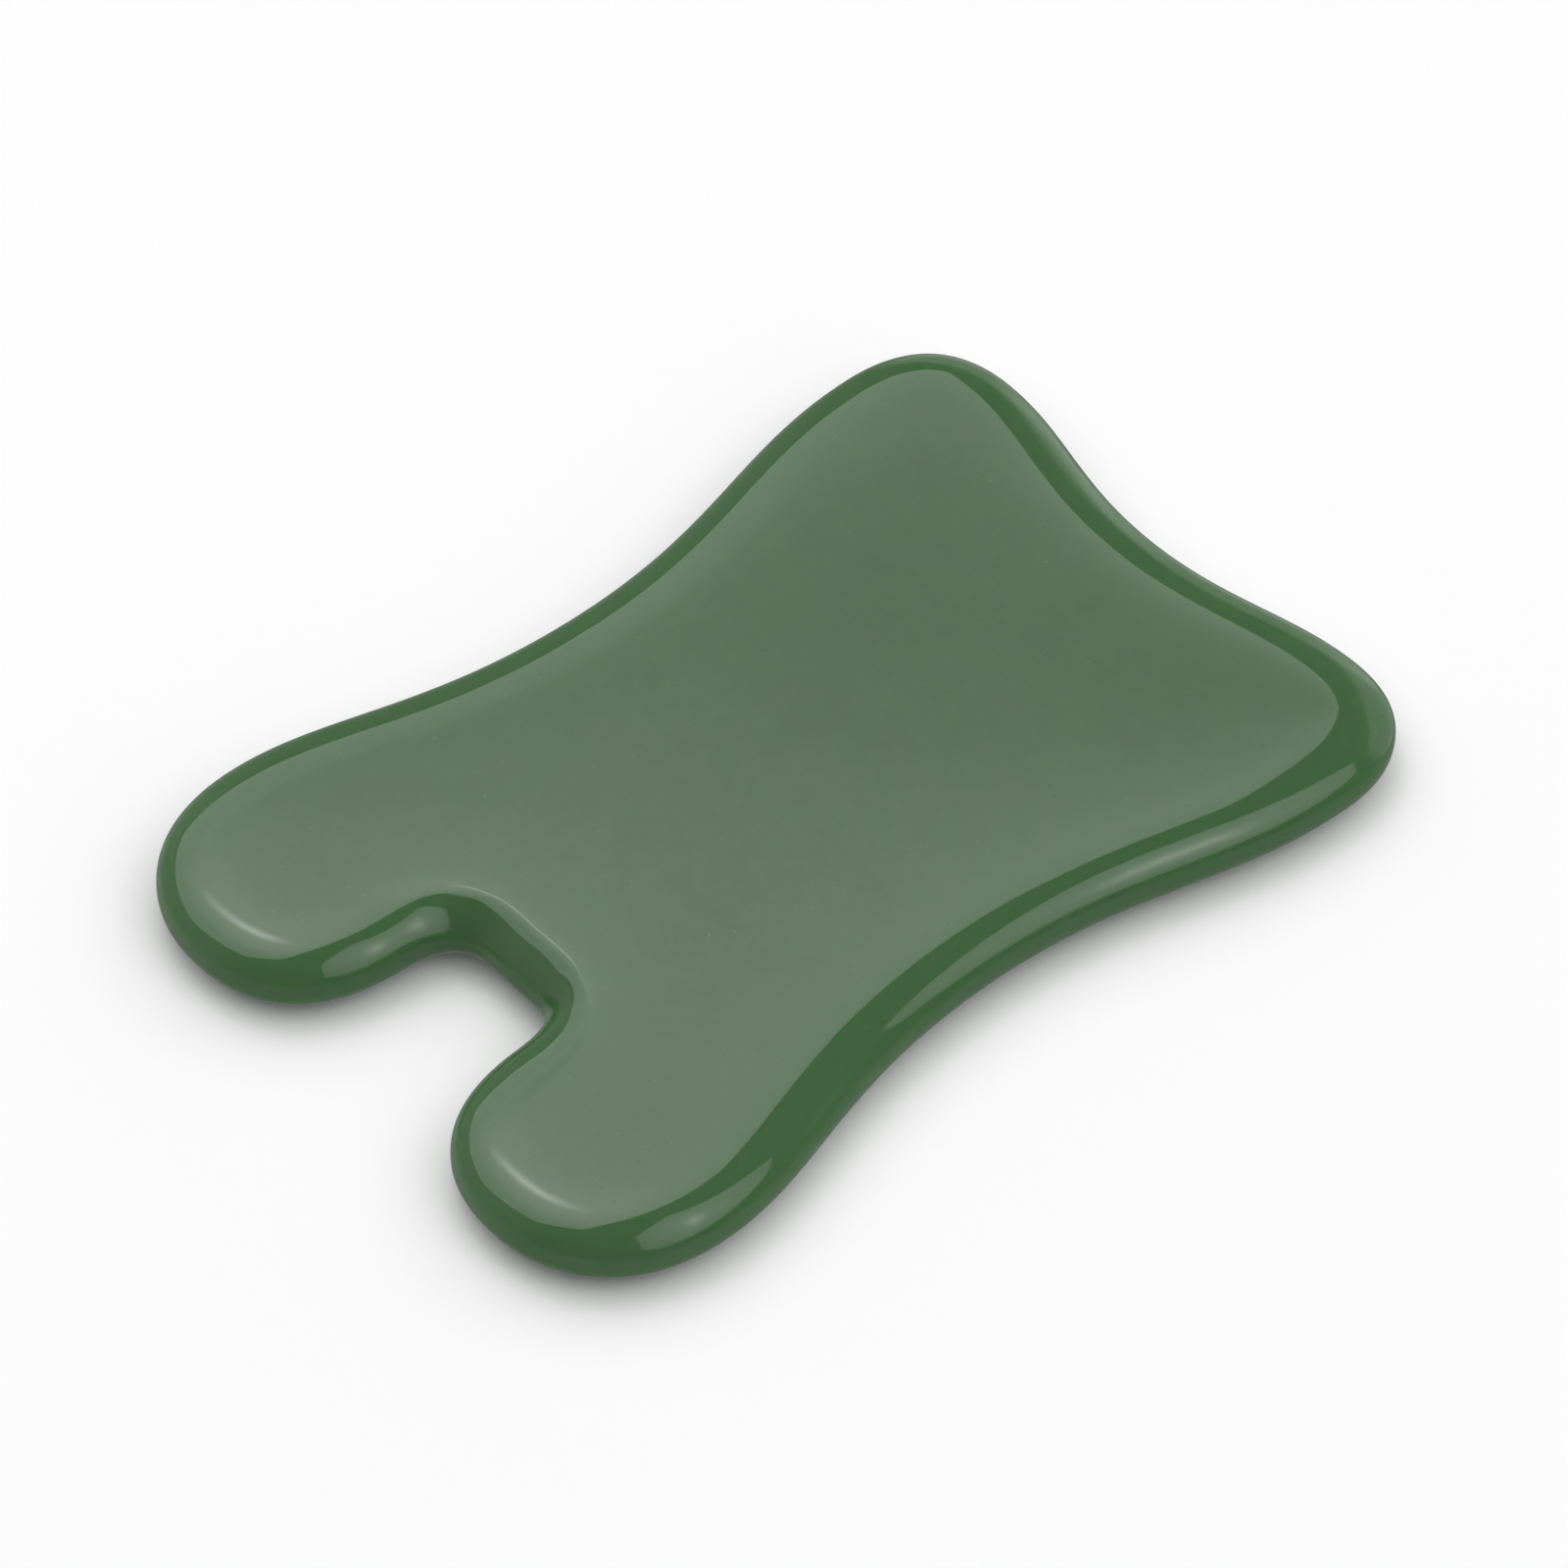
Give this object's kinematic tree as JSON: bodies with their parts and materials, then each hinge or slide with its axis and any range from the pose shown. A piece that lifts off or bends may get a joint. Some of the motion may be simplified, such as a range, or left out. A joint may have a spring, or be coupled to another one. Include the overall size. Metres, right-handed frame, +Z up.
{
  "type": "gua sha scraper",
  "caption": "Flat hand-held massage board of polished green stone, with rounded prongs either side of a slot at one end, concave long sides and a concave broad end.",
  "frame": {"origin": "centre of the underside, which rests on the table, at the middle of the plan's length and width", "axes": "+X along the length, from the prongs to the broad concave end; +Y across the plate; +Z up, out of the top face"},
  "size_m": [0.085, 0.0558, 0.006],
  "materials": {
    "jade": "polished dark green stone, lightly mottled"
  },
  "bodies": {
    "root": {"scraper_body": "jade"}
  },
  "joints": []
}
